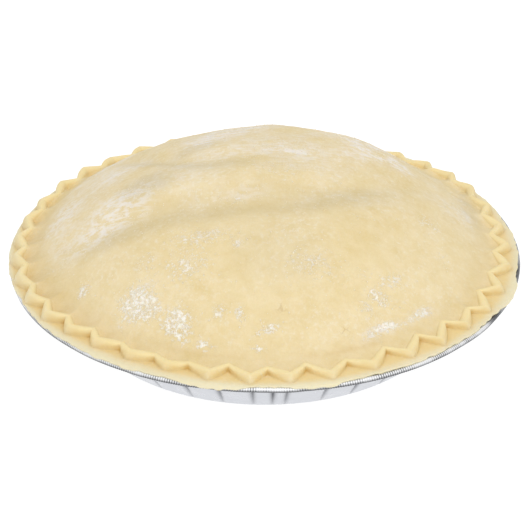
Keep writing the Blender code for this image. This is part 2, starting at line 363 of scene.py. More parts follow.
def above(value, middle, width):
    """A smooth step: 0 well below the middle and 1 well above it, with most of the change within
    twice the width on either side. It is the logistic curve, drawn as a hyperbolic tangent."""
    return 0.5 + 0.5 * np.tanh((value - middle) / (2 * width))


def bead_ring(side):
    """One line along the bead at this angle of its section, and how dark the painted shade on each of
    its points is, from 0 to 1.

    The line is a circle whose distance from the bead's middle is a cosine wave with one trough at
    each knurl. The knurls are unevenly deep, and join into one groove where they lie in deep shade. The
    bead's middle strays a little. The knurls get painted shade, and so does the bead's whole underside."""
    angle = np.linspace(0, 2 * math.pi, KNURLS * KNURL_COLUMNS, endpoint=False)
    pressed = np.clip(0.75 + 0.5 * round_trip(angle, seed=13, slowest=9, fastest=160), 0.2, 1.4)
    groove = (0.5 + 0.5 * np.cos(KNURLS * angle)) ** 2 * pressed
    for middle, reach, amount in KNURLS_IN_DEEP_SHADE:
        off = (np.degrees(angle) - middle + 180) % 360 - 180
        groove = groove + amount * np.exp(-(off / reach) ** 4)
    ribbed = BEAD_RADIUS - KNURL_DEPTH * np.clip(groove, 0, 1)
    beneath = 1 - above(math.sin(side), 0.05, 0.08)
    stray_out = BEAD_STRAY_OUT * round_trip(angle, seed=11, slowest=2, fastest=40)
    stray_up = BEAD_STRAY_UP * round_trip(angle, seed=12, slowest=2, fastest=40)
    out = BEAD_MIDDLE + stray_out + ribbed * math.cos(side)
    up = BEAD_HEIGHT + stray_up + ribbed * math.sin(side)
    line = np.column_stack((out * np.cos(angle), out * np.sin(angle), up))
    return line, np.clip(KNURL_SHADE * groove + UNDERSIDE_SHADE * beneath, 0, 1)


bead_section = np.linspace(math.pi, -math.pi, BEAD_SIDES + 1)
bead_rings, bead_darkness = zip(*(bead_ring(side) for side in bead_section))
bead_points, bead_faces = skin(bead_rings)
# The last line is the first one again: its faces use the first line's points instead
bead_count = len(bead_rings[0]) * BEAD_SIDES
bead_faces = [face % bead_count for face in bead_faces]

# The same foil, so finely ribbed that it glitters: its white is painted in as glints from every side, and
# the knurls and the underside get painted shade, near black
knurled_foil = new_material("aluminium_foil_knurled")
bead_shade_part = add(knurled_foil, "Attribute", {"attribute_name": "painted_bead_shade"}).outputs["Fac"]
bead_tone = add(knurled_foil, "Mix", {"data_type": 'RGBA'},
                {0: bead_shade_part, 6: linear("#F3F4F6"), 7: linear("#2C2E34")})
glitter = add(knurled_foil, "BsdfPrincipled", inputs={
    "Base Color": bead_tone.outputs[2], "Metallic": 0.35, "Roughness": 0.35})
add(knurled_foil, "OutputMaterial", inputs={"Surface": glitter.outputs["BSDF"]})

tin_bead = make_mesh("tin_bead", bead_points[:bead_count], bead_faces, knurled_foil)
name_values(tin_bead, "painted_bead_shade", np.concatenate(bead_darkness)[:bead_count])
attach(tin_bead, "root")
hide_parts("foil_tin")


# --- The crust ---
# Two sheets of raw shortcrust, the lower one lining the tin, the upper one laid over heaped fruit.
# A toothed ring presses them together round the rim into a zigzag ridge and trims them at the bead.
# Some of the flour is so thin that it only colours the dough, and is part of the dough's material.

LID_MIDDLE = (-2.2, 0.5)
DOME_RADIUS = 104.5
DOME_TOP = 77.2
DOME_EDGE = 37.8
DOME_EDGE_TILT = 2.7
DOME_ROUNDNESS = 2.2
SKIRT_START = 99.8                # where the lid turns down to the crimp
# Swells and hollows over the fruit: middle x and y, reach along x and y, height
LUMPS = (
    (46.0, 48.0, 26.0, 22.0, 3.0),
    (0.0, 66.0, 24.0, 20.0, 1.2),
    (-34.0, 58.0, 26.0, 22.0, -1.8),
    (-68.0, 40.0, 20.0, 20.0, -1.9),
    (-72.0, -18.0, 20.0, 16.0, 2.2),
    (-12.0, -14.0, 34.0, 13.0, 1.4),
    (20.0, -62.0, 46.0, 16.0, 1.0),
)
# Long folds across the lid: each lies along y = level + bend * t^2, where t is how far x is past
# start, towards side; then its middle and reach along x, its width to the front and to the back of
# that line, and its depth
FOLDS = (
    (-26.5, 0.0068, -5.0, 1.0, -14.0, 76.0, 14.0, 10.0, 4.4),
    (10.0, 0.018, -22.0, -1.0, -40.0, 34.0, 10.0, 9.0, 2.8),
)
SHADE_BEFORE = 7.5                # how far before a fold's line its painted shade is darkest, and how far that goes
# Wrinkles that follow the lid's edge on the right: radius and y of their middle, reach both ways,
# height and length
WRINKLE_RADIUS, WRINKLE_Y = 97.0, 20.0
WRINKLE_REACH, WRINKLE_LONG = 5.0, 34.0
WRINKLE_HEIGHT, WRINKLE_LENGTH = 0.3, 3.2
CRIMP_MIDDLE = (-1.2, 0.0)
TEETH = 40
FIRST_NOTCH = 137.1               # degrees round from +X, the first of the notches that are seen
# How each notch and the tip after it stray from their even places: the notch's degrees anticlockwise
# and millimetres outwards, then the tip's; from the first notch on, and the rest lie even
STRAYS = (
    (1.0, 0.5, 0.3, 0.0), (1.0, 1.0, 0.3, 0.0), (1.2, 1.5, 0.8, 0.5), (1.2, 2.0, 0.9, 0.8),
    (1.4, 2.5, 0.9, 1.0), (1.4, 3.0, 0.8, 1.3), (1.4, 3.2, 0.7, 1.4), (1.5, 3.4, 0.9, 1.4),
    (0.8, 2.4, 0.4, 0.7), (0.4, 1.2, -0.6, -1.0), (0.1, 0.0, -1.3, -2.0), (0.0, 0.0, -1.2, -2.6),
    (0.1, 0.3, -0.8, -2.2), (-0.7, 0.6, 0.0, -0.2), (-0.7, -1.2, 0.0, 0.8), (-0.9, 0.3, -0.6, 0.5),
    (-1.3, -0.6, -0.7, 0.8), (-0.8, -0.2, -0.1, 0.0), (0.4, -1.8, 0.0, 0.0), (1.0, -1.7, -0.4, 1.0),
    (0.8, -1.3, -0.6, 0.4), (0.5, 1.2, -0.9, 1.1), (0.0, -0.6, -0.9, 0.8), (0.4, 0.0, 0.9, 0.6),
    (1.4, 0.5, 0.9, 0.6), (1.2, 0.5, 1.4, 0.5), (1.9, 1.0, 1.3, 0.3), (1.2, 1.5, 1.4, 0.4),
    (1.6, 1.8, 0.4, 0.0), (1.4, 1.2, 0.3, 0.2), (1.2, 0.8, 0.5, -0.3), (0.6, 0.4, 0.3, -0.5),
)
TIP_ROUNDNESS = 1.35
BAY_ROUNDNESS = 1.2
TIP_FOOT = 119.0                  # radius of the ridge's outer foot at a tip
NOTCH_FOOT = 111.5                # and at a notch
TIP_WIDTH = 5.9                   # of the ridge, straight out from the middle, at a tip
NOTCH_WIDTH = 2.7                 # and at a notch
RIDGE_TOP = 36.4
RIDGE_LEAN = 1.7                  # how much higher the ridge is at the back left, and lower opposite
RIDGE_LEAN_TO = math.radians(110)
RIDGE_RAGGED = 0.25
# Where the ridge is higher or lower: degrees round from +X, reach in degrees, height
RIDGE_SWELLS = ((28.0, 15.0, 2.3), (126.5, 2.5, 0.8), (131.5, 2.5, -1.2), (147.0, 7.0, 1.2))
POCKET_DEPTH = 2.9                # of the pocket behind each outer tip
POCKET_RIM = 0.2                  # how far the pocket's rim lies under the ridge's top
POCKET_LEAN = 1.2                 # how much deeper the pockets are at the back left
OUTER_POCKET = 0.45               # how far the dough is dished outside the ridge, between two tips
LEDGE_OVER_BEAD = 2.0             # the ledge's top over the bead's middle
LEDGE_UNDER = 1.05                # and its underside, pressed on to the bead
LEDGE_CLIMB = 0.04                # how steeply the ledge rises inwards from there
LEDGE_MIDDLE = 1.7                # what lies higher over the bead belongs to the ledge's top
WRAP_RADIUS = 1.75                # of the dough's length round the bead
WRAP_THINNING = 0.3               # how much thinner the dough is on the bead's outside
# Where the dough laps down over the bead: from and to, in degrees round from +X, and how far
LAPS = (
    (-212.0, -168.0, 1.5), (-168.0, -118.0, 1.1), (-108.5, -94.0, 2.3), (-83.5, -74.0, 2.3),
    (-27.0, -15.5, 2.2), (48.0, 60.0, 2.0), (100.0, 118.0, 2.2),
)
EDGE_ALONG = -0.15                # where the edge is trimmed elsewhere, past the bead's middle
EDGE_RAGGED = 0.3
EDGE_SOFTNESS = 0.8               # in degrees, how gradually a lap starts and ends
LEDGE_LEAST = 0.9                 # the ledge is at least this wide
# Points round the lid's middle, round the rest of it, and round the crimp
FEW_COLUMNS, LID_COLUMNS, CRIMP_COLUMNS = 160, 480, 1440
FEW_WITHIN = 34.0                 # radius within which the lid has the few
LID_RINGS = 100
RIDGE_RINGS = 15
# Shares of the way down the skirt, and across the ledge, that have a ring of points
SKIRT_STEPS = (0.15, 0.3, 0.43, 0.54, 0.63, 0.71, 0.79, 0.87, 0.94, 1.0)
LEDGE_STEPS = (0.0, 0.15, 0.35, 0.55, 0.72, 0.86, 0.95, 1.0)
# The trimmed edge's rounding: past the edge, and over the bead's middle
EDGE_ROUNDING = ((0.14, 1.88), (0.2, 1.72), (0.14, 1.56), (0.0, LEDGE_UNDER))
UNDER_START = -1.7                # where the underside leaves the bead, past the bead's middle
# What can't be seen, as radius and height: down beside the bead, inside the tin's wall, over its base
UNDERSIDE = ((119.2, 29.9), (114.2, 29.9), (107.0, 27.3), (86.5, 1.8), (84.0, 1.0))
UNDERSIDE_HEIGHT = 1.0


def unevenness(x, y, seed, longest, shortest, height):
    """Gentle swells about this high: sixteen sine waves in random directions, with lengths from the
    longest to the shortest, each as high in proportion as it is long."""
    rng = np.random.default_rng(seed)
    total = 0.0
    for length in np.geomspace(longest, shortest, 16):
        heading, start = rng.uniform(0, 2 * math.pi, 2)
        run = x * math.cos(heading) + y * math.sin(heading)
        total = total + length / longest * np.sin(run * 2 * math.pi / length + start)
    return total * height / 2


def lid_height(x, y):
    """Height of the lid over a place: an upturned bowl, higher towards the back, plus a bell for each
    lump and each fold, plus fine swells. All but the bowl fades out towards the lid's edge, where a
    few close wrinkles follow the edge on the right."""
    off_x = x - LID_MIDDLE[0]
    off_y = y - LID_MIDDLE[1]
    reach = np.hypot(off_x, off_y)
    share = reach / DOME_RADIUS
    bowl = DOME_TOP - (DOME_TOP - DOME_EDGE) * share ** DOME_ROUNDNESS
    bowl = bowl + DOME_EDGE_TILT * off_y / DOME_RADIUS * share ** (DOME_ROUNDNESS - 1)
    lift = unevenness(x, y, seed=3, longest=60.0, shortest=20.0, height=0.28)
    lift = lift + unevenness(x, y, seed=4, longest=16.0, shortest=5.0, height=0.05)
    for middle_x, middle_y, reach_x, reach_y, height in LUMPS:
        lift = lift + height * np.exp(-((x - middle_x) / reach_x) ** 2 - ((y - middle_y) / reach_y) ** 2)
    for level, bend, start, side, middle, long, front, back, depth in FOLDS:
        past = np.clip((x - start) * side, 0, None)
        across = y - level - bend * past ** 2
        across = across / np.where(across < 0, front, back)
        lift = lift - depth * np.exp(-across ** 2 - ((x - middle) / long) ** 2)
    off_line = (reach - WRINKLE_RADIUS) / WRINKLE_REACH
    wrinkled = np.exp(-((y - WRINKLE_Y) / WRINKLE_LONG) ** 2 - off_line ** 2) * (x > 0)
    wander = unevenness(x, y, seed=9, longest=30.0, shortest=8.0, height=2.0)
    wrinkles = WRINKLE_HEIGHT * wrinkled * np.sin(reach * 2 * math.pi / WRINKLE_LENGTH + wander)
    return bowl + lift * (1 - np.clip(share, 0, 1) ** 6) + wrinkles


def crimp_line(angle):
    """Radii of the ridge's inner and outer foot and of the line that joins the outer tips, and the
    share of the way from notch to tip: 0 at a notch and 1 at a tip. Between them each foot follows a
    power of the distance from the tip or from the notch, so that the outer line has round tips and
    sharp notches, and the inner one the reverse."""
    strays = np.array(STRAYS + ((0.0,) * 4,) * (TEETH - len(STRAYS)) + STRAYS[:1])
    halves = np.arange(2 * TEETH + 2) / 2
    places = FIRST_NOTCH + halves * 360 / TEETH + strays[:, ::2].ravel()
    tooth = np.interp((np.degrees(angle) - places[0]) % 360 + places[0], places, halves)
    share = 1 - 2 * np.abs(tooth % 1 - 0.5)
    notch_foot = NOTCH_FOOT + np.interp(tooth, halves[::2], strays[:, 1])
    tip_foot = TIP_FOOT + np.interp(tooth, halves[1::2], strays[:, 3])
    outer = notch_foot + (tip_foot - notch_foot) * (1 - (1 - share) ** TIP_ROUNDNESS)
    bay = tip_foot - TIP_WIDTH
    inner = bay + (notch_foot - NOTCH_WIDTH - bay) * (1 - share ** BAY_ROUNDNESS)
    return inner, outer, tip_foot, share


def on_circle(radius, middle, angle):
    """Places at these radii about a middle, as x and y."""
    return middle[0] + radius * np.cos(angle), middle[1] + radius * np.sin(angle)


def over_bead(along, offset, angle):
    """A point of the ledge: flat over the flange at this offset above the bead's middle, and past
    that middle wrapped round it, so that along is the length of dough past the bead's middle."""
    wrapped = np.clip(along, 0, None) / WRAP_RADIUS
    lean = offset - WRAP_THINNING * np.sin(wrapped) * (offset > LEDGE_MIDDLE)
    radius = BEAD_MIDDLE + np.clip(along, None, 0) + lean * np.sin(wrapped)
    climb = LEDGE_CLIMB * np.clip(-along, 0, None) * (offset > LEDGE_MIDDLE)
    return np.column_stack((radius * np.cos(angle), radius * np.sin(angle),
                            BEAD_HEIGHT + climb + lean * np.cos(wrapped)))


few_columns = np.linspace(0, 2 * math.pi, FEW_COLUMNS, endpoint=False)
lid_columns = np.linspace(0, 2 * math.pi, LID_COLUMNS, endpoint=False)
crimp_columns = np.linspace(0, 2 * math.pi, CRIMP_COLUMNS, endpoint=False)
crust_rings = [np.array([[*LID_MIDDLE, float(lid_height(*map(np.array, LID_MIDDLE)))]])]
for radius in np.linspace(1.0, SKIRT_START, LID_RINGS):
    x, y = on_circle(radius, LID_MIDDLE, few_columns if radius < FEW_WITHIN else lid_columns)
    crust_rings.append(np.column_stack((x, y, lid_height(x, y))))

# The skirt leaves the lid's edge at the lid's own slope and ends level in the ridge's inner foot
inner_foot, outer_foot, tip_line, tipward = crimp_line(crimp_columns)
edge_x, edge_y = on_circle(SKIRT_START, LID_MIDDLE, crimp_columns)
edge_z = lid_height(edge_x, edge_y)
edge_fall = edge_z - lid_height(*on_circle(SKIRT_START - 1.0, LID_MIDDLE, crimp_columns))
foot_x, foot_y = on_circle(inner_foot, CRIMP_MIDDLE, crimp_columns)
crown = RIDGE_TOP + RIDGE_LEAN * np.cos(crimp_columns - RIDGE_LEAN_TO)
crown = crown + RIDGE_RAGGED * round_trip(crimp_columns, seed=24, slowest=8, fastest=70)
crimp_degrees = np.degrees(crimp_columns)
for middle, reach, height in RIDGE_SWELLS:
    crown = crown + height * np.exp(-((crimp_degrees - middle) / reach) ** 2)
pocket_depth = POCKET_DEPTH + POCKET_LEAN * np.cos(crimp_columns - RIDGE_LEAN_TO)
pocket = crown - POCKET_RIM - pocket_depth * tipward
skirt_run = np.hypot(foot_x - edge_x, foot_y - edge_y)
for t in SKIRT_STEPS:
    bend = t ** 2 * (3 - 2 * t)
    height = edge_z * (1 - bend) + pocket * bend + edge_fall * skirt_run * t * (1 - t) ** 2
    crust_rings.append(np.column_stack((edge_x + t * (foot_x - edge_x),
                                        edge_y + t * (foot_y - edge_y), height)))

# The ridge: between its two feet a rounded section, whose height is a power of the sine of phi, a
# higher one towards the outside of the tips, which slope
out_x, out_y = on_circle(outer_foot, CRIMP_MIDDLE, crimp_columns)
foot_along = np.hypot(out_x, out_y) - BEAD_MIDDLE
ledge_angle = np.arctan2(out_y, out_x)
ledge_start = over_bead(foot_along, LEDGE_OVER_BEAD, ledge_angle)
for phi in np.linspace(0, math.pi, RIDGE_RINGS)[1:-1]:
    s = (1 - math.cos(phi)) / 2
    rise = math.sin(phi) ** (0.8 if s < 0.5 else 0.55 + 0.75 * tipward)
    floor = pocket * (1 - s) + ledge_start[:, 2] * s
    crust_rings.append(np.column_stack((foot_x + s * (out_x - foot_x), foot_y + s * (out_y - foot_y),
                                        floor + (crown - floor) * rise)))

# The ledge runs from the ridge's outer foot to the trimmed edge, and down over the bead where it laps
edge_along = EDGE_ALONG + EDGE_RAGGED * round_trip(crimp_columns, seed=31, slowest=12, fastest=200)
for start, end, far in LAPS:
    for turned in (crimp_degrees, crimp_degrees - 360):
        lapped = above(turned, start, EDGE_SOFTNESS) * (1 - above(turned, end, EDGE_SOFTNESS))
        edge_along = edge_along + (far - EDGE_ALONG) * lapped
edge_along = np.maximum(edge_along, foot_along + LEDGE_LEAST)
for share in LEDGE_STEPS:
    along = foot_along + share * (edge_along - foot_along)
    ring = over_bead(along, LEDGE_OVER_BEAD, ledge_angle)
    way_out = np.clip((BEAD_MIDDLE + along - outer_foot) / (tip_line - outer_foot + 1.0), 0, 1)
    ring[:, 2] -= OUTER_POCKET * 4 * way_out * (1 - way_out) * (1 - tipward)
    crust_rings.append(ring)
for past_edge, offset in EDGE_ROUNDING:
    crust_rings.append(over_bead(edge_along + past_edge, offset, ledge_angle))
crust_rings.append(over_bead(np.minimum(edge_along, UNDER_START), LEDGE_UNDER, ledge_angle))
for radius, height in UNDERSIDE:
    x, y = on_circle(radius, (0.0, 0.0), lid_columns)
    crust_rings.append(np.column_stack((x, y, np.full(LID_COLUMNS, height))))
crust_rings.append(np.array([[0.0, 0.0, UNDERSIDE_HEIGHT]]))
crust_points, crust_faces = skin(crust_rings)

# Where flour was brushed on, sifted on and sprinkled: middle x and y of each patch, its reach both
# ways, the degrees that it is turned, and how much there is
BRUSHED = (
    (-69.0, -18.0, 21.0, 14.0, 35.0, 0.92),
    (-78.0, -28.0, 14.0, 5.0, 20.0, 0.6),
    (-94.0, -18.0, 7.0, 10.0, 0.0, 0.35),
    (-95.0, 5.0, 8.0, 14.0, 0.0, 0.75),
    (-74.0, 26.0, 7.0, 14.0, 0.0, 0.5),
)
SIFTED = (
    (-17.0, 47.0, 24.0, 10.0, 40.0, 0.9),
    (52.0, 34.0, 15.0, 9.0, -20.0, 1.0),
    (64.0, 31.0, 9.0, 6.0, -35.0, 0.8),
    (99.0, 30.0, 4.0, 34.0, 0.0, 0.15),
    (-8.0, -22.0, 9.0, 5.0, 0.0, 0.4),
    (2.0, 14.0, 18.0, 8.0, 0.0, 0.5),
    (50.0, -88.0, 14.0, 3.0, 35.0, 0.6),
    (70.0, -73.0, 12.0, 3.0, 42.0, 0.5),
)
SPRINKLED = (
    (10.0, 20.0, 24.0, 16.0, 0.0, 0.42),
    (6.0, -5.0, 20.0, 9.0, 0.0, 0.4),
    (-14.0, -26.0, 6.0, 3.5, 0.0, 0.5),
    (-27.0, -51.0, 18.0, 5.0, -10.0, 0.6),
    (-12.0, -58.0, 3.0, 2.0, 0.0, 0.7),
    (-54.0, -57.0, 6.0, 7.0, 0.0, 0.55),
    (-35.0, -64.0, 12.0, 10.0, 0.0, 0.62),
    (-57.0, -74.0, 9.0, 9.0, -30.0, 1.0),
    (-51.0, -79.0, 6.0, 5.0, 0.0, 0.9),
    (-38.0, -88.0, 9.0, 6.5, -25.0, 0.95),
    (-26.0, -99.0, 6.0, 3.0, -30.0, 1.0),
    (-38.0, -96.0, 7.0, 3.0, -20.0, 0.75),
    (-20.0, -87.0, 5.0, 3.5, 0.0, 0.6),
    (-11.0, -88.0, 2.5, 4.0, 0.0, 0.85),
    (-82.0, -57.0, 3.5, 4.5, 0.0, 0.85),
    (-65.0, -84.0, 7.0, 4.0, 0.0, 0.6),
    (-52.0, -93.0, 6.0, 3.0, 0.0, 0.45),
    (1.0, -94.0, 7.0, 2.5, 15.0, 0.8),
    (-3.0, -101.0, 4.0, 2.5, 0.0, 0.9),
    (20.0, -66.0, 14.0, 8.0, 0.0, 0.5),
    (45.0, -65.0, 5.0, 4.0, 0.0, 0.3),
    (57.0, -63.0, 8.0, 4.0, 35.0, 0.65),
    (50.0, -73.0, 7.0, 4.0, 0.0, 0.75),
    (45.0, -80.0, 4.0, 4.0, 0.0, 0.55),
    (51.0, -87.0, 15.0, 3.5, 35.0, 1.0),
    (71.0, -72.0, 11.0, 3.0, 42.0, 1.0),
    (36.0, -93.0, 3.0, 2.0, 0.0, 0.65),
    (77.0, -18.0, 6.0, 7.0, 0.0, 0.55),
    (81.0, -37.0, 5.0, 6.0, 0.0, 0.3),
)
# A bare spot in the sifted flour at the back right: its middle x and y and its reach both ways
BARE_SPOT = (56.0, 34.0, 4.5, 3.5)
# Where painted shade lies on the lid as though it were sunk there, in the same form
SHADED_AS_SUNK = (
    (-38.0, -26.0, 21.0, 7.0, 0.0, 0.2),
    (12.0, -22.0, 24.0, 7.0, 0.0, 0.3),
    (-33.0, 26.0, 13.0, 6.0, 20.0, 0.45),
    (38.0, -19.0, 22.0, 8.0, 25.0, 0.4),
    (-68.0, -36.0, 15.0, 6.0, 5.0, 0.45),
    (-55.0, -6.0, 15.0, 11.0, 20.0, 0.7),
    (100.0, 26.0, 6.0, 22.0, 0.0, 0.5),
    (7.0, -61.0, 22.0, 15.0, 0.0, 0.35),
)
# Creases along the lid's foot, only painted as shade: degrees round from +X, reach in degrees, how dark
# their painted shade is
PAINTED_CREASES = ((-70.0, 10.0, 0.38), (-107.0, 9.0, 0.266))
PAINTED_CREASE_RADIUS = 104.6
PITS_START = 4.4                  # from the ridge's inner foot out to the dished dough
TONE_BLEND = 0.5                  # how gradually the crimp's tones pass into each other
NOTCH_LOW = 32.2                  # below this height the painted shade at the ridge's outer foot is darkest
RIM_START = 118.6                 # radius from which the outermost dough, over the bead, is drawn paler and greyer
FLOUR_FROM = 36.5                 # the height on the lid from which flour lies on it
# Where the lid has split in a little star: x, y, height, radius
SPLITS = ((7.2, -85.5, 49.0, 3.4), (35.0, -90.5, 40.5, 3.0))


def patched(x, y, patches):
    """How much of something there is at a place, from 0 to 1: flat-topped bells, one for each patch,
    joined so that none of it adds up past 1."""
    bare = 1.0
    for middle_x, middle_y, reach_x, reach_y, heading, amount in patches:
        turned = math.radians(heading)
        along = (x - middle_x) * math.cos(turned) + (y - middle_y) * math.sin(turned)
        across = (y - middle_y) * math.cos(turned) - (x - middle_x) * math.sin(turned)
        bare = bare * (1 - amount * np.exp(-((along / reach_x) ** 2 + (across / reach_y) ** 2) ** 1.5))
    return 1 - bare


# How much each tone counts at each point of the crust, from 0 to 1, for the dough's material to read
crust_x, crust_y, crust_z = crust_points.T
crust_angle = np.arctan2(crust_y - CRIMP_MIDDLE[1], crust_x - CRIMP_MIDDLE[0])
crust_radius = np.hypot(crust_x - CRIMP_MIDDLE[0], crust_y - CRIMP_MIDDLE[1])
inner_line, outer_line, crust_tip_line, crust_tipward = crimp_line(crust_angle)
from_inner = crust_radius - inner_line
from_outer = crust_radius - outer_line
seen = crust_z > BEAD_HEIGHT
at_left = above(-crust_x, 70, 12)
at_front = above(-crust_y, -20, 15)

# The ridge, and the dished dough outside it as far as the tips reach, which gets painted shade
on_ridge = above(from_inner, 0.2, TONE_BLEND) * (1 - above(from_outer, 0.6, TONE_BLEND))
before_pits = 1 - above(from_inner, PITS_START, 0.4)
ridged = seen * on_ridge * before_pits
painted_pocket_shade = seen * (1 - before_pits) * (1 - above(crust_radius, crust_tip_line - 1.0, TONE_BLEND))
# Painted shade in the sharp notches, and in a thin line all along the ridge's outer foot, where it is low
low = np.clip(1 - (crust_z - NOTCH_LOW) / 2.5, 0, 1)
painted_notch_shade = np.exp(-(from_outer / 1.1) ** 2) * np.clip(1 - 2.6 * crust_tipward, 0, 1) ** 1.5 * low
painted_notch_shade = np.clip(painted_notch_shade + 0.25 * np.exp(-(from_outer / 1.2) ** 2) * low, 0, 1)
rimmed = seen * above(np.hypot(crust_x, crust_y), RIM_START, 1.0)

# Painted shade on places drawn as if sunk, and in front of each fold
unshaded_part = 1 - patched(crust_x, crust_y, SHADED_AS_SUNK)
for level, bend, start, side, middle, long, *_ in FOLDS:
    past = np.clip((crust_x - start) * side, 0, None)
    across = (crust_y - level + SHADE_BEFORE - bend * past ** 2) / SHADE_BEFORE
    unshaded_part = unshaded_part * (1 - 0.5 * np.exp(-across ** 2 - ((crust_x - middle) / long) ** 4))
painted_hollow_shade = (1 - unshaded_part) * seen

# Painted shade at the lid's foot, in the pockets behind the tips, and in two creases along the front
painted_foot_shade = np.exp(-((from_inner + 2) / 7) ** 2) * (0.2 + 0.35 * at_left) * at_front
painted_foot_shade = painted_foot_shade + np.exp(-((from_inner + 0.3) / 2.2) ** 2) * crust_tipward * (0.12 + 0.4 * at_left)
crust_degrees = np.degrees(crust_angle)
for middle, reach, amount in PAINTED_CREASES:
    painted_crease = np.exp(-((crust_degrees - middle) / reach) ** 4)
    painted_foot_shade = painted_foot_shade + amount * painted_crease * np.exp(-((crust_radius - PAINTED_CREASE_RADIUS) / 1.2) ** 2)
painted_foot_shade = painted_foot_shade * seen * (1 - ridged)

# Flour: brushed and sifted on in films, sprinkled in clots, and a fine dusting over everything
on_lid = (1 - ridged) * above(crust_z, FLOUR_FROM, 0.8)
spread = 0.5 + 0.5 * unevenness(crust_x, crust_y, seed=41, longest=60.0, shortest=12.0, height=1.0)
top_side = above(crust_y, -8, 14) * (crust_z > 40)
top_side = top_side * (1 - 0.5 * above(crust_x, 62, 8))
bare_x, bare_y, bare_long, bare_wide = BARE_SPOT
bare_reach = ((crust_x - bare_x) / bare_long) ** 2 + ((crust_y - bare_y) / bare_wide) ** 2
brushed = patched(crust_x, crust_y, BRUSHED) * on_lid
sifted = np.clip(patched(crust_x, crust_y, SIFTED) + 0.6 * top_side * spread, 0, 1)
sifted = sifted * (1 - np.exp(-bare_reach ** 2)) * on_lid
sprinkled = patched(crust_x, crust_y, SPRINKLED) * on_lid
dusted = np.clip(0.1 + 0.3 * spread + 0.3 * top_side, 0, 1) * (0.35 + 0.65 * on_lid)
tones = {"ridged": ridged, "rimmed": rimmed, "painted_pocket_shade": painted_pocket_shade, "painted_notch_shade": painted_notch_shade,
         "painted_hollow_shade": painted_hollow_shade, "painted_foot_shade": painted_foot_shade, "brushed": brushed, "sifted": sifted,
         "sprinkled": sprinkled, "dusted": dusted}

# Raw shortcrust, rolled: matt, faintly translucent with butter, mottled where the flour is worked in
shortcrust = new_material("shortcrust_raw_rolled")
place = add(shortcrust, "TexCoord").outputs["Object"]
part = {name: add(shortcrust, "Attribute", {"attribute_name": name}).outputs["Fac"] for name in tones}
# Mottling at 45 mm, 7 mm and 2.5 mm, as the butter lies, and the crumb of the dough at 0.9 mm
tone = None
for scale, share in ((22.0, 0.6), (140.0, 0.6), (400.0, 0.3), (1100.0, 0.2)):
    noise = add(shortcrust, "TexNoise", inputs={"Vector": place, "Scale": scale, "Detail": 2.0})
    tone = add(shortcrust, "Math", {"operation": 'MULTIPLY_ADD'},
               {0: noise.outputs["Fac"], 1: share, 2: tone.outputs[0] if tone else 0.0})
tone = add(shortcrust, "MapRange", inputs={0: tone.outputs[0], 1: 0.45, 2: 1.25})
colour = add(shortcrust, "Mix", {"data_type": 'RGBA'},
             {0: tone.outputs[0], 6: linear("#DEC78D"), 7: linear("#F0E0BA")}).outputs[2]
# The ridge's own unfloured tone and the outermost dough's paler one, then painted shade in the dished
# pockets and the notches
for name, share, tint in (("ridged", 0.75, "#F4E1A9"), ("rimmed", 0.8, "#EAE2C2"),
                          ("painted_pocket_shade", 0.55, "#E9CD88"), ("painted_notch_shade", 0.9, "#CFA654")):
    amount = add(shortcrust, "Math", {"operation": 'MULTIPLY'}, {0: part[name], 1: share})
    colour = add(shortcrust, "Mix", {"data_type": 'RGBA'},
                 {0: amount.outputs[0], 6: colour, 7: linear(tint)}).outputs[2]
# Flour brushed on in one direction, with streaks 1.5 mm wide and 11 mm long, and flour sifted on, 2 mm
# and 8 mm, both broken up by clouds 5 mm across
clouds = add(shortcrust, "TexNoise", inputs={"Vector": place, "Scale": 190.0, "Detail": 3.0})
for name, way, squeeze, scale, least in (("brushed", -37, 0.13, 700.0, 0.08),
                                         ("sifted", -8, 0.25, 500.0, 0.28)):
    run = add(shortcrust, "Mapping", inputs={"Vector": place, "Rotation": (0.0, 0.0, math.radians(way)),
                                             "Scale": (squeeze, 1.0, 1.0)})
    streaks = add(shortcrust, "TexNoise",
                  inputs={"Vector": run.outputs[0], "Scale": scale, "Detail": 2.0})
    uneven = add(shortcrust, "Math", {"operation": 'ADD'},
                 {0: streaks.outputs["Fac"], 1: clouds.outputs["Fac"]})
    cover = add(shortcrust, "MapRange",
                inputs={0: uneven.outputs[0], 1: 0.88, 2: 1.14, 3: least, 4: 1.2})
    film = add(shortcrust, "Math", {"operation": 'MULTIPLY', "use_clamp": True},
               {0: part[name], 1: cover.outputs[0]})
    colour = add(shortcrust, "Mix", {"data_type": 'RGBA'},
                 {0: film.outputs[0], 6: colour, 7: linear("#F0E8DB")}).outputs[2]
# A fine dusting, in specks 1 to 2 mm across
specks = add(shortcrust, "TexNoise",
             inputs={"Vector": place, "Scale": 520.0, "Detail": 4.0, "Roughness": 0.65})
dusting = add(shortcrust, "MapRange", inputs={0: specks.outputs["Fac"], 1: 0.5, 2: 0.72})
dusting = add(shortcrust, "Math", {"operation": 'MULTIPLY'}, {0: dusting.outputs[0], 1: part["dusted"]})
colour = add(shortcrust, "Mix", {"data_type": 'RGBA'},
             {0: dusting.outputs[0], 6: colour, 7: linear("#F6F0E4")}).outputs[2]
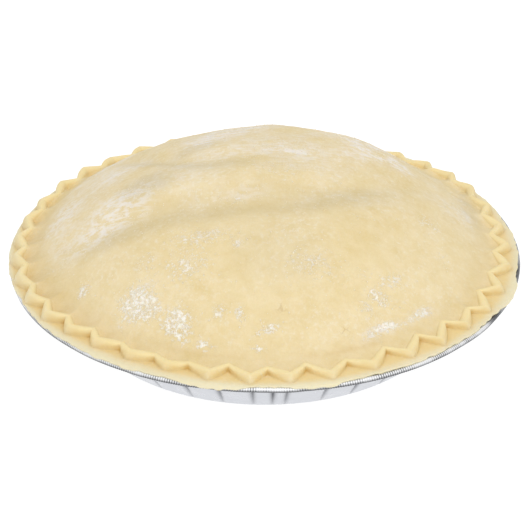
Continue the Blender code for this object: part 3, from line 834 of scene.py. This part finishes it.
# Clots of flour, 1 to 3 mm across: where more was sprinkled more of the noise counts as flour, and
# where less was they are thinner
clots = add(shortcrust, "TexNoise",
            inputs={"Vector": place, "Scale": 600.0, "Detail": 5.0, "Roughness": 0.7, "Distortion": 0.4})
heap = add(shortcrust, "Math", {"operation": 'MULTIPLY_ADD'},
           {0: part["sprinkled"], 1: 0.24, 2: clots.outputs["Fac"]})
heap = add(shortcrust, "Math", {"operation": 'MULTIPLY_ADD'},
           {0: clouds.outputs["Fac"], 1: 0.25, 2: heap.outputs[0]})
clotted = add(shortcrust, "MapRange", inputs={0: heap.outputs[0], 1: 0.775, 2: 0.875})
thickness = add(shortcrust, "MapRange",
                inputs={0: part["sprinkled"], 1: 0.25, 2: 0.8, 3: 0.5, 4: 1.0})
clotted = add(shortcrust, "Math", {"operation": 'MULTIPLY'},
              {0: clotted.outputs[0], 1: thickness.outputs[0]})
colour = add(shortcrust, "Mix", {"data_type": 'RGBA'},
             {0: clotted.outputs[0], 6: colour, 7: linear("#F8F3E8")}).outputs[2]
# Painted shade, grey and tan: places drawn as if sunk and the folds are darker than the light makes them,
# and so is the lid's foot
for name, tint in (("painted_hollow_shade", "#E7E7E5"), ("painted_foot_shade", "#EEE3CF")):
    colour = add(shortcrust, "Mix", {"data_type": 'RGBA', "blend_type": 'MULTIPLY'},
                 {0: part[name], 6: colour, 7: linear(tint)}).outputs[2]
# Where the sheet has split in a little star: the edges of cells 3 mm across, in small rounds
cells = add(shortcrust, "TexVoronoi", {"feature": 'DISTANCE_TO_EDGE'}, {"Vector": place, "Scale": 330.0})
split = add(shortcrust, "MapRange", inputs={0: cells.outputs["Distance"], 1: 0.0, 2: 0.1, 3: 0.6, 4: 0.0})
for *split_place, size in (np.array(SPLITS) * MM).tolist():
    away = add(shortcrust, "VectorMath", {"operation": 'DISTANCE'}, {0: place, 1: split_place})
    near = add(shortcrust, "MapRange",
               inputs={0: away.outputs["Value"], 1: 0.4 * size, 2: size, 3: 0.6, 4: 0.0})
    cracked = add(shortcrust, "Math", {"operation": 'MULTIPLY'},
                  {0: near.outputs[0], 1: split.outputs[0]})
    colour = add(shortcrust, "Mix", {"data_type": 'RGBA'},
                 {0: cracked.outputs[0], 6: colour, 7: linear("#B8955A")}).outputs[2]
# The relief: the crumb at 1 mm, and the flour, which stands proud of it
crumb = add(shortcrust, "TexNoise", inputs={"Vector": place, "Scale": 900.0, "Detail": 3.0})
relief = add(shortcrust, "Math", {"operation": 'MULTIPLY_ADD'},
             {0: clotted.outputs[0], 1: 0.7, 2: crumb.outputs["Fac"]})
relief = add(shortcrust, "Math", {"operation": 'MULTIPLY_ADD'},
             {0: dusting.outputs[0], 1: 0.6, 2: relief.outputs[0]})
dough_bump = add(shortcrust, "Bump",
                 inputs={"Strength": 0.8, "Distance": 0.00025, "Height": relief.outputs[0]})
dough = add(shortcrust, "BsdfPrincipled", inputs={
    "Base Color": colour, "Roughness": 0.68, "IOR": 1.45, "Specular IOR Level": 0.35,
    "Subsurface Weight": 0.15, "Subsurface Radius": (1.0, 0.8, 0.5), "Subsurface Scale": 0.0015,
    "Normal": dough_bump.outputs["Normal"]})
add(shortcrust, "OutputMaterial", inputs={"Surface": dough.outputs["BSDF"]})

pie_crust = make_mesh("pie_crust", crust_points, crust_faces, shortcrust)
for name, values in tones.items():
    name_values(pie_crust, name, values)
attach(pie_crust, "root")
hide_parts("pie")


# --- The flour ---
# Plain wheat flour, thrown on by hand over the finished pie. The grains cling together in soft
# clots, which lie where they fell, thickest in the patches and a few over all the lid.

GRAINS = 4500
THROWN = 90000                    # places that are tried for them
GRAIN_SMALLEST = 0.16             # half of its width
GRAIN_LARGEST = 0.42
FEWER_LARGE = 2.5                 # the higher, the fewer large ones
GRAIN_LUMPINESS = (0.75, 1.2)     # nearest and farthest corner, as shares of its size
GRAIN_FLATNESS = 0.55             # its height as a share of its width
GRAIN_LIFT = 0.1                  # of its middle over the lid, as a share of its size
GRAIN_CORNERS = 14


def grain_shape():
    """A lump of 14 points: the corners and the face middles of a cube, all at one distance from its
    middle, and the 24 triangles between them, each from a face's middle to one edge of that face."""
    corners = np.array([(x, y, z) for x in (-1, 1) for y in (-1, 1) for z in (-1, 1)]) / math.sqrt(3)
    middles = np.array([(-1, 0, 0), (1, 0, 0), (0, -1, 0), (0, 1, 0), (0, 0, -1), (0, 0, 1)], dtype=float)
    loops = ((0, 1, 3, 2), (4, 6, 7, 5), (0, 4, 5, 1), (2, 3, 7, 6), (0, 2, 6, 4), (1, 5, 7, 3))
    faces = [(8 + side, loop[i], loop[(i + 1) % 4]) for side, loop in enumerate(loops) for i in range(4)]
    return np.concatenate((corners, middles)), np.array(faces)


rng = np.random.default_rng(77)
far = np.sqrt(rng.random(THROWN)) * (SKIRT_START - 1)
way = rng.random(THROWN) * 2 * math.pi
at_x, at_y = on_circle(far, LID_MIDDLE, way)
# The chance that a place gets a clot: small anywhere, and large where flour was sprinkled
wanted = 0.012 + 0.9 * patched(at_x, at_y, SPRINKLED) ** 2 + 0.2 * patched(at_x, at_y, SIFTED)
wanted = wanted + 0.15 * patched(at_x, at_y, BRUSHED)
chosen = np.flatnonzero(rng.random(THROWN) < wanted)[:GRAINS]
shape, shape_faces = grain_shape()
size = GRAIN_SMALLEST + (GRAIN_LARGEST - GRAIN_SMALLEST) * rng.random(len(chosen)) ** FEWER_LARGE
lumpiness = rng.uniform(*GRAIN_LUMPINESS, (len(chosen), GRAIN_CORNERS, 1))
lumpy = shape[None] * lumpiness * size[:, None, None]
grain_x = at_x[chosen][:, None] + lumpy[:, :, 0]
grain_y = at_y[chosen][:, None] + lumpy[:, :, 1]
# Each clot is flattened, follows the lid's slope and sits half sunk in it
grain_z = lid_height(grain_x, grain_y) + GRAIN_FLATNESS * lumpy[:, :, 2] + GRAIN_LIFT * size[:, None]
grain_points = np.stack((grain_x, grain_y, grain_z), axis=2).reshape(-1, 3)
grain_starts = np.arange(len(chosen))[:, None, None] * GRAIN_CORNERS
grain_faces = (grain_starts + shape_faces[None]).reshape(-1, 3)

# Wheat flour, sifted: chalky white with a touch of cream, and no gloss at all
wheat_flour = new_material("wheat_flour_sifted")
place = add(wheat_flour, "TexCoord").outputs["Object"]
# Each clot differs a little from its neighbours: noise at 2 mm
flour_noise = add(wheat_flour, "TexNoise", inputs={"Vector": place, "Scale": 500.0, "Detail": 2.0})
flour_tone = add(wheat_flour, "Mix", {"data_type": 'RGBA'},
                 {0: flour_noise.outputs["Fac"], 6: linear("#EBDDBE"), 7: linear("#F5ECD8")})
flour_bump = add(wheat_flour, "Bump", inputs={"Strength": 0.5, "Distance": 0.0001,
                                              "Height": flour_noise.outputs["Fac"]})
powder = add(wheat_flour, "BsdfPrincipled", inputs={
    "Base Color": flour_tone.outputs[2], "Roughness": 0.95, "Specular IOR Level": 0.1,
    "Normal": flour_bump.outputs["Normal"]})
add(wheat_flour, "OutputMaterial", inputs={"Surface": powder.outputs["BSDF"]})

flour = make_mesh("flour", grain_points, [grain_faces], wheat_flour)
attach(flour, "root")
